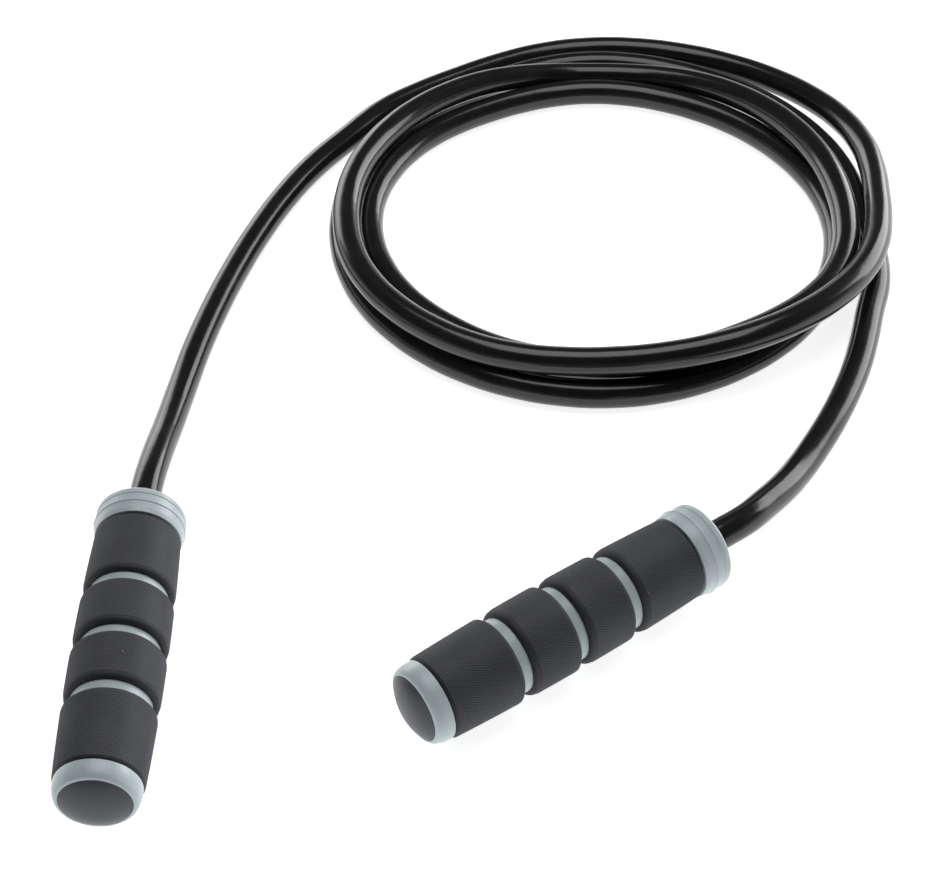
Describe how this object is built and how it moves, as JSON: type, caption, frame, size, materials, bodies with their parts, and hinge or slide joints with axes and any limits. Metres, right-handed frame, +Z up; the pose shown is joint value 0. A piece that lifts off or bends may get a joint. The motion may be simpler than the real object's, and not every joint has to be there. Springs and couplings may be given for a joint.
{
  "type": "jump rope",
  "caption": "Jump rope laid down in a loose coil: thick PVC rope between barrel-shaped handles that spin freely, with knurled rubber sleeves on a grooved plastic core.",
  "frame": {"origin": "on the floor under the middle of the two handles' common bounding box; the free rope isn't counted", "axes": "+X from the left handle to the right one, +Y along the left handle from its butt to its collar and on to the coil, +Z up"},
  "size_m": [0.33, 0.4645, 0.034],
  "materials": {
    "rope_pvc": "glossy black PVC",
    "grip_rubber": "matt charcoal rubber with a fine raised-dot knurl",
    "handle_plastic": "satin grey-green moulded plastic",
    "cap_plastic": "satin dark grey domed plug",
    "bush_nylon": "natural nylon",
    "washer_steel": "bright zinc plate",
    "ferrule_metal": "crimped, plain"
  },
  "bodies": {
    "rope": {"left_lead": "rope_pvc", "rope_coil": "rope_pvc", "right_lead": "rope_pvc", "left_thrust_washer": "washer_steel", "left_ferrule": "ferrule_metal", "left_rope_end": "rope_pvc", "right_thrust_washer": "washer_steel", "right_ferrule": "ferrule_metal", "right_rope_end": "rope_pvc"},
    "left_handle": {"left_handle_core": "handle_plastic", "left_collar_cap": "handle_plastic", "left_rope_bush": "bush_nylon", "left_grip_1": "grip_rubber", "left_grip_2": "grip_rubber", "left_grip_3": "grip_rubber", "left_grip_4": "grip_rubber", "left_end_ring": "handle_plastic", "left_end_cap": "cap_plastic"},
    "right_handle": {"right_handle_core": "handle_plastic", "right_collar_cap": "handle_plastic", "right_rope_bush": "bush_nylon", "right_grip_1": "grip_rubber", "right_grip_2": "grip_rubber", "right_grip_3": "grip_rubber", "right_grip_4": "grip_rubber", "right_end_ring": "handle_plastic", "right_end_cap": "cap_plastic"}
  },
  "joints": [
    {"name": "left_handle_spin", "type": "hinge", "parent": "rope", "child": "left_handle", "pos_m": [-0.1, 0.0465, 0.017], "axis": [0, 1, 0], "continuous": true},
    {"name": "right_handle_spin", "type": "hinge", "parent": "rope", "child": "right_handle", "pos_m": [0.09157, 0.0409, 0.017], "axis": [0.8059, 0.592, 0], "continuous": true}
  ]
}
